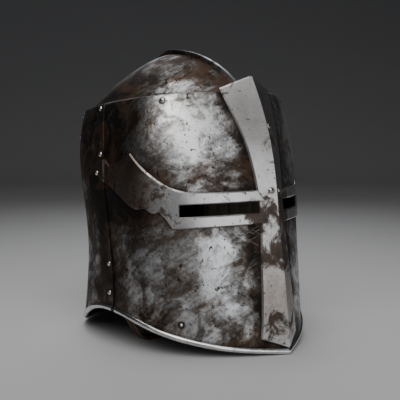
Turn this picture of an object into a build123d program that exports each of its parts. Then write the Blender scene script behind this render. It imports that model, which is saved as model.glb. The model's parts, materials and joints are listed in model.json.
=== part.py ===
from build123d import *

import os
from math import cos, radians, sin

# Riveted great helm with a keeled front, an eye-slotted cross, a raised crown and a padded lining.
# Frame: +Z up, the keel of the face towards -Y, the wearer's right towards -X.
# The helm stands on the floor, z = 0, on the point of its keel and on the back of its neck rim.
# All sizes are in millimetres.

# ---------------------------------------------------------------- driving dimensions
SHEET = 1.5            # thickness of the helmet plates
LAP_GAP = 0.1          # air left between two lapped sheets
CROSS_SHEET = 2.0      # thickness of the cross on the face
KEEL_ANGLE = 27        # how far each side of the face turns back from square
REACH = 400            # longer than the helm in any direction
FORE_AND_AFT = 4.3     # the keel frame is moved back by this much, so that the origin is mid-length

# Distance of each layer from the reference surface of the shell, inner face and outer face.
SKULL_LAYER = (-0.3 - SHEET, -0.3)
FRONT_LAYER = (LAP_GAP, LAP_GAP + SHEET)
BACK_LAYER = (FRONT_LAYER[1] + LAP_GAP, FRONT_LAYER[1] + LAP_GAP + SHEET)
CROSS_LAYER = (FRONT_LAYER[1] + LAP_GAP, FRONT_LAYER[1] + LAP_GAP + CROSS_SHEET)
TAIL_LAYER = (BACK_LAYER[1] + LAP_GAP, BACK_LAYER[1] + LAP_GAP + SHEET)

# Level sections of the shell: height, keel depth, half width, back depth.
SHELL_STATIONS = (
    (-30, 161, 117, 147),
    (0, 158, 117, 143),
    (40, 154, 117, 136),
    (100, 146, 118, 127),
    (150, 139, 119, 134),
    (190, 134, 119, 145),
    (230, 126, 115, 150),
    (260, 116, 108, 147),
    (290, 103, 96, 134),
    (315, 90, 84, 116),
)
WIDEST_Y = -30         # the shell is widest this far from the axis
CHEEK_PULL = 0.5       # how far the cheek's tangents reach
NAPE_PULL = 0.6        # how far the tangents of the back reach

# The skull: a raised crown that is a flattened cone below and round on top.
CROWN_BASE_Z = 226
CROWN_RISE = 106
CROWN_Y = 34
CROWN_FRONT = 143
CROWN_BACK = 111
CROWN_HALF_WIDTH = 118
CROWN_WIDEST_Y = -11
CROWN_FRONT_POWER = 1.9
CROWN_SIDE_POWER = 1.4
CROWN_SECTION_ANGLES = (8, 18, 28, 38, 48, 58, 68, 78, 86)     # from the crown's base to its top
SHELF_DROP = 1.0       # the skull's shoulder starts this far under the plates' top edge
SHOULDER_RISE = 5      # and rises by this much to the crown
SKIRT_DROP = 25        # the skirt ends this far under the plates' top edge

COMB_HEIGHT = 5
COMB_HALF_WIDTH = 2.3

# The plates end on one sloping plane at the top.
TOP_EDGE_Z = 274.6
TOP_EDGE_FALL = 0.111

# Seam between front and back plate, and both lower edges, as (y, z) from the side.
SEAM = ((0, 30), (-2, 80), (8, 150), (14, 195), (16, 220), (31, 268), (36, 290))
SEAM_LAP = 20
FRONT_EDGE = ((-170, 2.6), (-150, 4.6), (-126, 9.5), (-96, 18.5), (-60, 30), (-30, 38), (4, 42.5))
BACK_EDGE = ((4, 42.5), (22, 41.5), (46, 36.5), (70, 27), (92, 16.5), (112, 8), (130, 4.3), (175, 3.3))
RIM_RADIUS = 3.2
FRONT_RIM_END = -5     # y of the front rim's end
BACK_RIM_END = -1      # y of the back rim's end
RIM_STEP_Z = 47        # the front plate clears the back rim up to this height

SEAM_AIR = 0.3         # the cross clears the back plate's front edge
STEP_LENGTH = 2.4      # length of the step in the cross's tail

# The lining: leather band, quilted tongues, pads, and the lace that closes the crown.
BAND_LAYER = (-4.3, -1.9)
BAND_DROPS = (3.5, 21)             # upper and lower edge, under the plates' top edge
PAD_FACE = -4.8                    # outer face of the pads
TONGUE_COUNT = 6
TONGUE_LAYER = (-19, -10)          # inner and outer face, from the crown's surface
TONGUE_BOTTOM_Z = 250
TONGUE_SLIT = 3
CROWN_AXIS_Y = 32
CROWN_HOLE_RADIUS = 14
LACE_RING_RADIUS = 19
LACE_RADIUS = 1.5
BROW_PAD = (80, 100, 14, -38, 206, 240)       # head's half width and depth, its y, pad's end y, low z, high z
CHEEK_PAD = (-48, 62, 108, 202, 20)           # y from and to, z from and to, thickness
NAPE_PAD = (62, 102, 150, 228, 24)            # half width, y from, z from and to, thickness
TAB_SIZE = (12, 34, 2)                        # the lining's tie tabs: width, length, thickness
TAB_MARGIN = 3.5                              # a tab ends this far above its rivet
TAB_AIR = 2.9                                 # a tab clears the curved sheet by this much

# The chin strap and its buckle. Paths are drawn as (distance in from the plate, height).
STRAP_WIDTH = 20
STRAP_THICKNESS = 2.5
STRAP_WALL = -0.8                  # outer face of the straps, from the shell's reference surface
STRAP_RIVET = (5, 93)
LONG_STRAP = ((1.4, 103), (1.4, 82), (12, 44), (37, 1.7), (95, 1.7))
SHORT_STRAP = ((1.4, 103), (1.4, 84), (28, 46))
FOLD_LENGTHS = (4, 11, 30)         # the folded end: straight, closed up, end
STRAP_SLOT = (4.4, 12, 7)          # the prong's slot: width, reach above the bar, reach below it
HOLE_ROW = (51, 8, 5, 1.9)         # holes of the long strap: first, spacing, count, radius
STITCH_RIVETS = (16.3, 5.5)         # rivets of the fold: distance above the bar, half spacing
KEEPER = (23.5, 7, 1.6, 3.0)       # leather loop: distance above the bar, width, thickness, room
STRAP_BEND = 14
BAR_RADIUS = 1.6
BUCKLE_GAP = 0.2                   # play between the bar and the strap's fold
BUCKLE_INSIDE = (21.4, 17)         # width and length of the buckle's opening
PRONG_RADIUS = 1.2
PRONG_PLAY = 0.06
PRONG_OVERHANG = 2.5
PRONG_EYE_WALL = 1.2
PRONG_ROOT = 0.7       # the pin starts this far outside the eye's hole
BUCKLE_CORNER = 4

# The cross: half widths of the upright at each height, and the arm from the side.
UPRIGHT_TOP = (38, 288, 302)       # half width, corner height, ridge height
UPRIGHT_WAIST = ((33, 262), (27.5, 237), (22.5, 204), (19, 165), (19.5, 130), (22, 100), (24.5, 60))
UPRIGHT_FOOT = (28, 19, 8)         # half width, corner height, ridge height
ARM_TOP = ((-150, 178.5), (-111, 177.5), (-92, 177.5))
ARM_BROW = ((-92, 177.5), (-79, 182.5), (-64, 193.5), (-49, 206), (-35, 218.5))
ARM_HOLLOW = ((-35, 218.5), (-20, 210.5), (2, 203.5))
ARM_TAIL = ((2, 203.5), (12, 210), (27, 207.5), (33, 204), (32, 196), (21, 187))
ARM_CHEEK = ((21, 187), (0, 180), (-22, 169), (-36, 161), (-45, 158))
ARM_FOOT = ((-45, 158), (-55, 159.5), (-64, 154.5), (-70, 156), (-76, 149), (-82, 138), (-150, 143))
SLOT_CENTRE = (-57, -110)          # middle of the wearer's right eye slot, from above
SLOT_HALF = 43.5                   # half its length
SLOT_INNER_Z = (154, 166.3)        # lower and upper height of its end at the keel
SLOT_OUTER_Z = (151, 164)          # and of its outer end
SLOT_ANGLE = 30                    # the slot is cut square to the cheek
SLOT_DEPTH = 30

# Rivets, by (y, z) from the side. Those of the upright are by (x, z) from the front.
CROWN_RIVETS = ((-59, 275), (40, 266), (102, 258))
CROWN_BACK_RIVET_Z = 252
SEAM_RIVETS = ((22, 215), (5, 93), (5, 60))
TAIL_RIVET = (26, 194)
UPRIGHT_RIVETS = ((5, 247), (-6, 178), (6, 178))
CHEEK_RIVET = (-91, 36)
NAPE_RIVET = (108, 233)
RIVET_HEAD = 2.9
RIVET_SHANK = 1.5
DOME_SHARE = 0.62      # a dome's height, as a share of the head's radius
TAIL_INSET = 0.6       # a peened tail is smaller than the head by this radius
TAIL_HEIGHT = 0.8
SMALL_RIVET_HEAD = 2.0
SMALL_RIVET_SHANK = 1.1
BURR_RADIUS = 3.3
BURR_THICKNESS = 0.9
HEAD_GAP = 0.05        # a head sits this far off a curved sheet
HOLE_AIR = 0.05
HOLE_SPAN = (5, -13)   # a hole's cutter runs from outside the head to past the tail
RIM_END_FALL = 1.2     # the front rim's end lies this far under the seam's foot


# ---------------------------------------------------------------- surfaces of the shell
def section_wire(z, keel, half_width, widest_y, back, tilt, centre_y=0):
    """One level section: two swept cheeks that meet in a keel, and a round back."""
    lean = radians(tilt)
    keel_point = (0, -keel)
    side = (half_width, widest_y)
    rear = (0, back)
    pull = CHEEK_PULL * half_width
    cheek = (keel_point, (pull, -keel + pull * sin(lean) / cos(lean)),
             (half_width, widest_y - CHEEK_PULL * (keel + widest_y)), side)
    nape = (side, (half_width, widest_y + NAPE_PULL * (back - widest_y)),
            (NAPE_PULL * half_width, back), rear)
    edges = []
    for x_sign, curves in ((-1, (cheek, nape)), (1, (nape[::-1], cheek[::-1]))):
        for curve in curves:
            points = [Vector(x_sign * x, y + centre_y, z) for x, y in curve]
            edges.append(Edge.make_bezier(*points))
    return Wire(edges)


def shell_block(offset):
    """The solid inside the shell's reference surface, grown by an offset."""
    keel_growth = offset / cos(radians(KEEL_ANGLE))
    wires = []
    for z, keel, half_width, back in SHELL_STATIONS:
        wires.append(section_wire(z, keel + keel_growth, half_width + offset, WIDEST_Y,
                                  back + offset, KEEL_ANGLE))
    return Solid.make_loft(wires)


def shell_layer(layer):
    """A sheet between two offsets of the shell, open at the top and the bottom."""
    inner, outer = layer
    return shell_block(outer) - shell_block(inner)


def fade(height_ratio, power):
    """How far a crown section has shrunk at a height, from 1 at its base to 0 on top."""
    return (1 - height_ratio ** power) ** (1 / power)


def crown_block(offset):
    """The solid inside the crown, grown by an offset. Its top is a small flat."""
    wires = []
    for angle in CROWN_SECTION_ANGLES:
        ratio = sin(radians(angle))
        front = fade(ratio, CROWN_FRONT_POWER)
        side = fade(ratio, CROWN_SIDE_POWER)
        wires.append(section_wire(CROWN_BASE_Z + (CROWN_RISE + offset) * ratio,
                                  (CROWN_FRONT + offset) * front,
                                  (CROWN_HALF_WIDTH + offset) * side,
                                  CROWN_WIDEST_Y * side,
                                  (CROWN_BACK + offset) * side,
                                  KEEL_ANGLE * front ** 2, CROWN_Y))
    return Solid.make_loft(wires)


# ---------------------------------------------------------------- trimming tools
def below_top_edge(drop=0.0):
    """Everything under the sloping plane of the plates' top edge, lowered by a drop."""
    low, high = (TOP_EDGE_Z - drop + TOP_EDGE_FALL * REACH, TOP_EDGE_Z - drop - TOP_EDGE_FALL * REACH)
    return side_prism(Polyline((-REACH, -REACH), (-REACH, low), (REACH, high), (REACH, -REACH), close=True))


def side_prism(*lines, depth=REACH):
    """A prism along X from an outline drawn as (y, z)."""
    face = Face(Wire([edge for line in lines for edge in line.edges()]))
    return extrude(Plane.YZ * face, amount=depth, both=True)


def front_prism(*lines):
    """A prism along -Y from an outline drawn as (x, z)."""
    face = Face(Wire([edge for line in lines for edge in line.edges()]))
    return extrude(Plane.XZ * face, amount=REACH, dir=(0, -1, 0))


def halves(solid):
    """The right and left half of a solid, a hair apart on the middle plane."""
    side = Box(REACH, 2 * REACH, 2 * REACH)
    return [solid & Pos(sign * (REACH / 2 + LAP_GAP / 2), 0, 0) * side for sign in (-1, 1)]


def mirrored(shape):
    return mirror(shape, about=Plane.YZ)


# ---------------------------------------------------------------- places on the shell
def hit(block, start, direction):
    """Where a ray from inside leaves a block: the point and the outward normal."""
    found = block.find_intersection_points(Axis(start, direction))
    heading = Vector(*direction)
    ahead = [(p, n) for p, n in found if (p - Vector(*start)).dot(heading) > 0]
    point, normal = max(ahead, key=lambda pn: (pn[0] - Vector(*start)).dot(heading))
    if normal.dot(heading) < 0:
        normal = -normal
    return point, normal


def on_side(offset, side, y, z):
    """A point of the shell seen from the side: -1 is the wearer's right."""
    return hit(shell_block(offset), (0, y, z), (side, 0, 0))


def on_face(offset, x, z):
    """A point of the shell seen from the front."""
    return hit(shell_block(offset), (x, 0, z), (0, -1, 0))


# ---------------------------------------------------------------- sheet metal
def behind_seam(shift=0.0):
    """The space behind the seam line, moved back by a shift."""
    points = [(y + shift, z) for y, z in SEAM]
    (y_low, _), (y_high, _) = points[0], points[-1]
    return side_prism(Polyline((y_low, points[0][1]), (y_low, -REACH), (REACH, -REACH), (REACH, REACH),
                               (y_high, REACH), (y_high, points[-1][1])), Spline(*points))


def above_edge(edge):
    """The space above a lower edge."""
    (y_first, z_first), (y_last, z_last) = edge[0], edge[-1]
    return side_prism(Spline(*edge), Polyline((y_last, z_last), (REACH, z_last), (REACH, REACH),
                                              (-REACH, REACH), (-REACH, z_first), (y_first, z_first)))


def eye_slots():
    """Two cutters for the eye slots, square to the cheeks."""
    turn = radians(SLOT_ANGLE)
    plane = Plane((SLOT_CENTRE[0], SLOT_CENTRE[1], 0), x_dir=(cos(turn), -sin(turn), 0),
                  z_dir=(-sin(turn), -cos(turn), 0))
    corners = ((-SLOT_HALF, SLOT_OUTER_Z[0]), (SLOT_HALF, SLOT_INNER_Z[0]),
               (SLOT_HALF, SLOT_INNER_Z[1]), (-SLOT_HALF, SLOT_OUTER_Z[1]))
    cutter = extrude(plane * make_face(Polyline(*corners, close=True)), amount=SLOT_DEPTH, both=True)
    return [cutter, mirrored(cutter)]


def make_front_plate():
    """The face: one sheet folded along the keel, with both eye slots."""
    step = Pos(0, FRONT_RIM_END + REACH / 2, 0) * Box(REACH, REACH, 2 * RIM_STEP_Z)
    plate = shell_layer(FRONT_LAYER) & below_top_edge() & above_edge(FRONT_EDGE)
    return plate - behind_seam(SEAM_LAP) - step - eye_slots()


def make_back_plate():
    """The nape: one sheet bent round the back, lapped over the front plate."""
    return shell_layer(BACK_LAYER) & below_top_edge() & above_edge(BACK_EDGE) & behind_seam()


def top_wire(block, drop):
    """The outline of a block on the plane of the plates' top edge, lowered by a drop."""
    cut = block & below_top_edge(drop)
    return cut.faces().sort_by(Axis.Z)[-1].outer_wire()


def skull_block(layer_offset, crown_offset, drop):
    """Skirt, shoulder and crown as one solid."""
    shell = shell_block(layer_offset)
    crown = crown_block(crown_offset)
    shoulder = Solid.make_loft([top_wire(shell, drop), top_wire(crown, drop - SHOULDER_RISE)], ruled=True)
    return (shell & below_top_edge(drop)) + shoulder + (crown - below_top_edge(drop - SHOULDER_RISE))


def make_skull():
    """The crown with its sloping shoulder and its skirt inside the plates, in two halves."""
    inner, outer = SKULL_LAYER
    skull = skull_block(outer, 0, SHELF_DROP) - skull_block(inner, -SHEET, SHELF_DROP + SHEET)
    return halves(skull - below_top_edge(SKIRT_DROP))


def make_comb():
    """The crest: a strip along the middle of the crown."""
    strip = Box(2 * COMB_HALF_WIDTH, 2 * REACH, 2 * REACH)
    foot = below_top_edge(SHELF_DROP - SHOULDER_RISE - LAP_GAP)
    return (crown_block(COMB_HEIGHT) - crown_block(LAP_GAP)) & (strip - foot)


def make_cross():
    """The folded upright and both arms, with tails that step over the back plate."""
    half_top, corner_top, ridge_top = UPRIGHT_TOP
    half_foot, corner_foot, ridge_foot = UPRIGHT_FOOT
    waist = ((half_top, corner_top),) + UPRIGHT_WAIST + ((half_foot, corner_foot),)
    outline = [Polyline((-half_top, corner_top), (0, ridge_top), (half_top, corner_top)),
               Spline(*waist),
               Polyline((half_foot, corner_foot), (0, ridge_foot), (-half_foot, corner_foot)),
               Spline(*[(-x, z) for x, z in waist[::-1]])]
    upright = front_prism(*outline)
    arm = side_prism(Polyline(*ARM_TOP), Spline(*ARM_BROW), Spline(*ARM_HOLLOW), Polyline(*ARM_TAIL),
                     Spline(*ARM_CHEEK), Polyline(*ARM_FOOT, ARM_TOP[0]))
    face = shell_layer(CROSS_LAYER)
    step_front = behind_seam(-STEP_LENGTH)
    step_back = behind_seam(-SEAM_AIR)
    flat = (face & arm) - step_back
    step = (shell_layer((CROSS_LAYER[0], TAIL_LAYER[1])) & arm & step_front) - step_back
    tail = shell_layer(TAIL_LAYER) & arm & step_front
    return (face & upright) + flat + step + tail - eye_slots()


# ---------------------------------------------------------------- rims
def bead(path):
    """A round bar along a path."""
    start = Plane(path @ 0, z_dir=path % 0)
    return sweep(start * Circle(RIM_RADIUS), path=path)


def make_front_rim():
    """The bead under the face: one bar, mitred to a point at the keel."""
    middle = sum(FRONT_LAYER) / 2
    keel = on_face(middle, 0, RIM_RADIUS)[0]
    points = [on_side(middle, -1, y, z)[0] for y, z in FRONT_EDGE[1:-1]]
    points.append(on_side(middle, -1, FRONT_RIM_END, FRONT_EDGE[-1][1] - RIM_END_FALL)[0])
    curve = Spline(keel, *points)
    lead = Line(keel - (curve % 0) * 2 * RIM_RADIUS, keel)
    half = bead(Wire([lead.edge(), curve.edge()])) & Pos(-REACH / 2, 0, 0) * Box(REACH, 2 * REACH, 2 * REACH)
    return half + mirrored(half)


def make_back_rim():
    """The bead round the nape, in one bar from seam to seam."""
    middle = sum(BACK_LAYER) / 2
    right = [on_side(middle, -1, BACK_RIM_END, BACK_EDGE[0][1])[0]]
    right += [on_side(middle, -1, y, z)[0] for y, z in BACK_EDGE[1:-1]]
    rear = hit(shell_block(middle), (0, 0, BACK_EDGE[-1][1]), (0, 1, 0))[0]
    left = [Vector(-p.X, p.Y, p.Z) for p in right[::-1]]
    return bead(Spline(*right, rear, *left))


# ---------------------------------------------------------------- rivets
def rivet(place, grip, head=RIVET_HEAD, shank=RIVET_SHANK):
    """A domed rivet whose tail is peened over a burr. Its place is a point and a normal."""
    dome = DOME_SHARE * head
    tail = head - TAIL_INSET
    burr_face = -grip - BURR_THICKNESS
    end = burr_face - TAIL_HEIGHT
    profile = Polyline((head, 0), (shank, 0), (shank, burr_face), (tail, burr_face), (tail, end), (0, end),
                       (0, dome))
    cap = RadiusArc((0, dome), (head, 0), (head ** 2 + dome ** 2) / (2 * dome))
    solid = revolve(Plane.XZ * make_face(profile + cap), axis=Axis.Z)
    return place_at(place) * Pos(0, 0, HEAD_GAP) * solid


def place_at(place):
    point, normal = place
    return Location(Plane(point, z_dir=normal))


def burr(place, grip, shank=RIVET_SHANK):
    """The washer that the rivet's tail is peened over."""
    ring = Cylinder(BURR_RADIUS, BURR_THICKNESS - 2 * HEAD_GAP) - Cylinder(shank + HOLE_AIR, BURR_THICKNESS)
    return place_at(place) * Pos(0, 0, -grip - BURR_THICKNESS / 2 + HEAD_GAP) * ring


def rivet_hole(place, shank=RIVET_SHANK):
    outside, inside = HOLE_SPAN
    return place_at(place) * Pos(0, 0, (outside + inside) / 2) * Cylinder(shank + HOLE_AIR, outside - inside)


def both_sides(offset, y, z):
    return [on_side(offset, side, y, z) for side in (-1, 1)]


def crown_places():
    """The rivets along the top edge: through plate, skull and liner band."""
    places = [(place, FRONT_LAYER[1]) for place in both_sides(FRONT_LAYER[1], *CROWN_RIVETS[0])]
    for y, z in CROWN_RIVETS[1:]:
        places += [(place, BACK_LAYER[1]) for place in both_sides(BACK_LAYER[1], y, z)]
    rear = hit(shell_block(BACK_LAYER[1]), (0, 0, CROWN_BACK_RIVET_Z), (0, 1, 0))
    return places + [(rear, BACK_LAYER[1])]


def seam_places():
    return [place for y, z in SEAM_RIVETS for place in both_sides(BACK_LAYER[1], y, z)]


def tail_places():
    return both_sides(TAIL_LAYER[1], *TAIL_RIVET)


def upright_places():
    return [on_face(CROSS_LAYER[1], x, z) for x, z in UPRIGHT_RIVETS]


def small_places():
    """The small rivets of the lining's tie tabs: low on the cheeks and high on the nape."""
    return both_sides(FRONT_LAYER[1], *CHEEK_RIVET) + both_sides(BACK_LAYER[1], *NAPE_RIVET)


# ---------------------------------------------------------------- lining
def make_liner_band():
    """A leather band riveted round the inside, under the skull's shelf."""
    high, low = BAND_DROPS
    return (shell_layer(BAND_LAYER) & below_top_edge(high)) - below_top_edge(low)


def make_tongues():
    """The quilted tongues of the cap, cut like petals round the crown."""
    inner, outer = TONGUE_LAYER
    cap = crown_block(outer) - crown_block(inner)
    cap = cap - Pos(0, CROWN_AXIS_Y, 0) * Cylinder(CROWN_HOLE_RADIUS, 2 * REACH)
    cap = cap - Pos(0, 0, TONGUE_BOTTOM_Z - REACH) * Box(REACH, REACH, 2 * REACH)
    step = 360 / TONGUE_COUNT
    tongues = []
    for index in range(TONGUE_COUNT):
        middle = index * step
        reach = REACH / 2
        corners = [(0, 0)]
        for turn in (middle - step / 2, middle + step / 2):
            corners.append((reach * cos(radians(turn)), reach * sin(radians(turn))))
        wedge = extrude(make_face(Polyline(*corners, close=True)), amount=REACH)
        shift = TONGUE_SLIT / 2 / sin(radians(step / 2))
        place = Pos(shift * cos(radians(middle)), CROWN_AXIS_Y + shift * sin(radians(middle)), 0)
        tongues.append(cap & place * wedge)
    return tongues


def make_lace():
    """The tied ring of cord that gathers the tongues' tips."""
    middle = sum(TONGUE_LAYER) / 2
    height = hit(crown_block(middle), (LACE_RING_RADIUS, CROWN_AXIS_Y, CROWN_BASE_Z), (0, 0, 1))[0].Z
    return Pos(0, CROWN_AXIS_Y, height) * Torus(LACE_RING_RADIUS, LACE_RADIUS)


def slab(y_range, z_range, x_range=(-REACH, REACH)):
    """A plain block from its ranges."""
    size = [high - low for low, high in (x_range, y_range, z_range)]
    middle = [(high + low) / 2 for low, high in (x_range, y_range, z_range)]
    return Pos(*middle) * Box(*size)


def make_brow_pad():
    """The pad that fills the keel in front of the forehead."""
    half_width, half_depth, head_y, end_y, low, high = BROW_PAD
    head = Pos(0, head_y, 0) * extrude(Ellipse(half_width, half_depth), amount=REACH)
    return (shell_block(PAD_FACE) & slab((-REACH, end_y), (low, high))) - head


def make_cheek_pads():
    """Two pads on the side walls, level with the ears and the jaw."""
    y_from, y_to, low, high, thickness = CHEEK_PAD
    wall = shell_layer((PAD_FACE - thickness, PAD_FACE))
    pad = wall & slab((y_from, y_to), (low, high), (-REACH, 0))
    return [pad, mirrored(pad)]


def make_nape_pad():
    """The pad behind the head."""
    half_width, y_from, low, high, thickness = NAPE_PAD
    wall = shell_layer((PAD_FACE - thickness, PAD_FACE))
    return wall & slab((y_from, REACH), (low, high), (-half_width, half_width))


def make_tie_tabs():
    """The leather tabs that the lining is tied to, one behind each small rivet."""
    width, length, thickness = TAB_SIZE
    tabs = []
    for (point, normal), rise in zip(small_places(), (1, 1, -1, -1)):
        side = Vector(0, 0, 1).cross(normal).normalized()
        lie = Plane(point - normal * (SHEET + TAB_AIR + thickness / 2), x_dir=side, z_dir=normal)
        tab = Pos(0, rise * (length / 2 - TAB_MARGIN), 0) * Box(width, length, thickness)
        tabs.append(Location(lie) * tab)
    return tabs


# ---------------------------------------------------------------- chin strap
def strap_plane(side):
    """The upright plane square to the plate through a strap's rivet: local x runs inwards, y up."""
    point, normal = on_side(STRAP_WALL, side, *STRAP_RIVET)
    inwards = Vector(-normal.X, -normal.Y, 0).normalized()
    return Plane((point.X, point.Y, 0), x_dir=inwards, z_dir=inwards.cross(Vector(0, 0, 1)))


def strap_solid(path):
    """A flat strap along a path in the local plane, square to it."""
    start = Plane(path @ 0, x_dir=(0, 0, 1), z_dir=path % 0)
    return sweep(start * Rectangle(STRAP_WIDTH, STRAP_THICKNESS), path=path)


def fold_frame():
    """Where the short strap turns back: its centre line's end, its direction and the bar's centre."""
    bend, end = Vector(*SHORT_STRAP[1]), Vector(*SHORT_STRAP[2])
    along = (end - bend).normalized()
    inwards = Vector(-along.Y, along.X)
    bar = end + inwards * (BAR_RADIUS + BUCKLE_GAP + STRAP_THICKNESS / 2)
    return end, along, inwards, bar


def make_long_strap():
    """The wearer's right strap: it hangs from its rivet and its pointed end lies on the floor."""
    path = FilletPolyline(*LONG_STRAP, radius=STRAP_BEND)
    strap = strap_solid(path)
    first, spacing, count, radius = HOLE_ROW
    for index in range(count):
        strap = strap - Pos(first + index * spacing, 0, 0) * Rot(90, 0, 0) * Cylinder(radius, STRAP_BEND)
    tip_x = LONG_STRAP[-1][0]
    half = STRAP_WIDTH / 2
    for sign in (-1, 1):
        corner = Polyline((tip_x - half, sign * (half + 1)), (tip_x + 1, sign * (half + 1)), (tip_x + 1, 0),
                          (tip_x, sign * 2), close=True)
        strap = strap - extrude(Plane.XZ * make_face(corner), amount=STRAP_BEND, both=True)
    return Location(strap_plane(-1)) * strap


def make_short_strap():
    """The wearer's left strap, folded round the buckle's bar and slotted for the prong."""
    end, along, inwards, bar = fold_frame()
    turn = (bar - end).length
    straight, closed, last = FOLD_LENGTHS
    lead = FilletPolyline(*SHORT_STRAP, radius=STRAP_BEND)
    fold = ThreePointArc(end, bar + along * turn, end + inwards * 2 * turn)
    lap = STRAP_THICKNESS + SEAM_AIR
    back = FilletPolyline(end + inwards * 2 * turn, end + inwards * 2 * turn - along * straight,
                          end + inwards * lap - along * closed, end + inwards * lap - along * last,
                          radius=STRAP_BEND / 2)
    strap = strap_solid(Wire(lead.edges() + fold.edges() + back.edges()))
    width, above, below = STRAP_SLOT
    slot = Pos((above - below) / -2, 0, 0) * Box(above + below, 4 * turn, width)
    strap = strap - Location(Plane(bar, x_dir=along, z_dir=(0, 0, 1))) * slot
    return Location(strap_plane(1)) * strap


def make_keeper():
    """The leather loop that holds the end of the other strap."""
    end, along, inwards, bar = fold_frame()
    above, width, wall, room = KEEPER
    low = -STRAP_THICKNESS / 2 - SEAM_AIR - room
    high = STRAP_THICKNESS * 1.5 + 2 * SEAM_AIR
    inner_width = STRAP_WIDTH + 4 * SEAM_AIR
    loop = Box(width, high - low + 2 * wall, inner_width + 2 * wall) - Box(2 * width, high - low, inner_width)
    place = Plane(end - along * above, x_dir=along, z_dir=(0, 0, 1))
    return Location(strap_plane(1)) * Location(place) * Pos(0, (high + low) / 2, 0) * loop


def stitch_places():
    """The two small rivets that close the fold, as places on the strap's outer face."""
    end, along, inwards, bar = fold_frame()
    above, half_spacing = STITCH_RIVETS
    plane = strap_plane(1)
    places = []
    for sign in (-1, 1):
        local = end - along * above - inwards * (STRAP_THICKNESS / 2) + Vector(0, 0, sign * half_spacing)
        places.append((plane.from_local_coords(local), plane.from_local_coords(end - inwards)
                       - plane.from_local_coords(end)))
    return places


def buckle_frame_place():
    """The buckle's own frame: origin in the bar's middle, x inwards, y up, z along the bar."""
    end, along, inwards, bar = fold_frame()
    return Location(strap_plane(1)) * Pos(bar.X, bar.Y, 0)


def make_buckle_frame():
    """A rectangle of round bar that hangs from the strap's fold."""
    width, length = BUCKLE_INSIDE
    half = width / 2 + BAR_RADIUS
    drop = length + 2 * BAR_RADIUS
    bar = Cylinder(BAR_RADIUS, 2 * half)
    legs = FilletPolyline((0, 0, -half), (0, -drop, -half), (0, -drop, half), (0, 0, half),
                          radius=BUCKLE_CORNER)
    hoop = sweep(Plane(legs @ 0, z_dir=legs % 0) * Circle(BAR_RADIUS), path=legs)
    balls = [Pos(0, 0, sign * half) * Sphere(BAR_RADIUS) for sign in (-1, 1)]
    return buckle_frame_place() * (bar + hoop + balls[0] + balls[1])


def make_prong():
    """The prong: an eye round the bar and a pin that rests on the far side of the frame."""
    hole = Cylinder(BAR_RADIUS + PRONG_PLAY, 4 * PRONG_RADIUS)
    eye = Cylinder(BAR_RADIUS + PRONG_PLAY + PRONG_EYE_WALL, 2 * PRONG_RADIUS) - hole
    drop = BUCKLE_INSIDE[1] + 2 * BAR_RADIUS
    heel = Vector(-BAR_RADIUS - PRONG_PLAY - PRONG_ROOT, 0, 0)
    tip = Vector(-BAR_RADIUS - PRONG_RADIUS - 2 * PRONG_PLAY, -drop - PRONG_OVERHANG, 0)
    path = Line(heel, tip)
    pin = sweep(Plane(heel, z_dir=path % 0) * Circle(PRONG_RADIUS), path=path) - hole
    return buckle_frame_place() * (eye + pin + Pos(*tip) * Sphere(PRONG_RADIUS))


# ---------------------------------------------------------------- assembly
def drilled(sheet, places, shank=RIVET_SHANK):
    """A sheet with the holes of some rivets."""
    return sheet - [rivet_hole(place, shank) for place in places]


def fasten(joints, head=RIVET_HEAD, shank=RIVET_SHANK):
    """Rivets and burrs for a list of places with their grips."""
    rivets = [rivet(place, grip, head, shank) for place, grip in joints]
    burrs = [burr(place, grip, shank) for place, grip in joints]
    return rivets, burrs


def grips(places, outer, inner):
    """Each place with the thickness that its rivet holds together."""
    return [(place, outer - inner + 2 * HOLE_AIR) for place in places]


def shell_nodes(crown, seam, tails, upright, small):
    """The drilled plates, skull and cross, with the comb and the rims."""
    front = drilled(make_front_plate(), crown[:4] + seam + tails + upright)
    back = drilled(make_back_plate(), crown[2:] + seam + tails)
    skull_right, skull_left = [drilled(half, crown) for half in make_skull()]
    return {
        "front_plate": drilled(front, small[:2], SMALL_RIVET_SHANK),
        "back_plate": drilled(back, small[2:], SMALL_RIVET_SHANK),
        "skull_right": skull_right,
        "skull_left": skull_left,
        "comb": make_comb(),
        "cross_reinforce": drilled(make_cross(), tails + upright),
        "rim_front": make_front_rim(),
        "rim_back": make_back_rim(),
    }


def fastener_nodes(crown_grips, seam, tails, upright, small):
    """The rivets of the shell in groups, and the burrs under their tails."""
    tab_grip = SHEET + TAB_AIR + TAB_SIZE[2] + 2 * HOLE_AIR
    crown_rivets, crown_burrs = fasten(crown_grips)
    seam_rivets, seam_burrs = fasten(grips(seam, BACK_LAYER[1], FRONT_LAYER[0]))
    cross_rivets, cross_burrs = fasten(grips(tails, TAIL_LAYER[1], FRONT_LAYER[0])
                                       + grips(upright, CROSS_LAYER[1], FRONT_LAYER[0]))
    tab_rivets, tab_burrs = fasten([(place, tab_grip) for place in small],
                                   SMALL_RIVET_HEAD, SMALL_RIVET_SHANK)
    return {
        "crown_rivets": crown_rivets,
        "seam_rivets": seam_rivets,
        "cross_rivets": cross_rivets,
        "lining_rivets": tab_rivets,
        "rivet_burrs": crown_burrs + seam_burrs + cross_burrs + tab_burrs,
    }


def lining_nodes(crown, small):
    """The leather band, the cap's tongues and lace, the pads and their tabs."""
    cheek_right, cheek_left = make_cheek_pads()
    nodes = {
        "liner_band": drilled(make_liner_band(), crown),
        "crown_lace": make_lace(),
        "brow_pad": make_brow_pad(),
        "nape_pad": make_nape_pad(),
        "cheek_pad_right": cheek_right,
        "cheek_pad_left": cheek_left,
        "tie_tabs": [drilled(tab, [place], SMALL_RIVET_SHANK) for tab, place in zip(make_tie_tabs(), small)],
    }
    for index, tongue in enumerate(make_tongues(), 1):
        nodes["liner_tongue_%d" % index] = tongue
    return nodes


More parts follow.
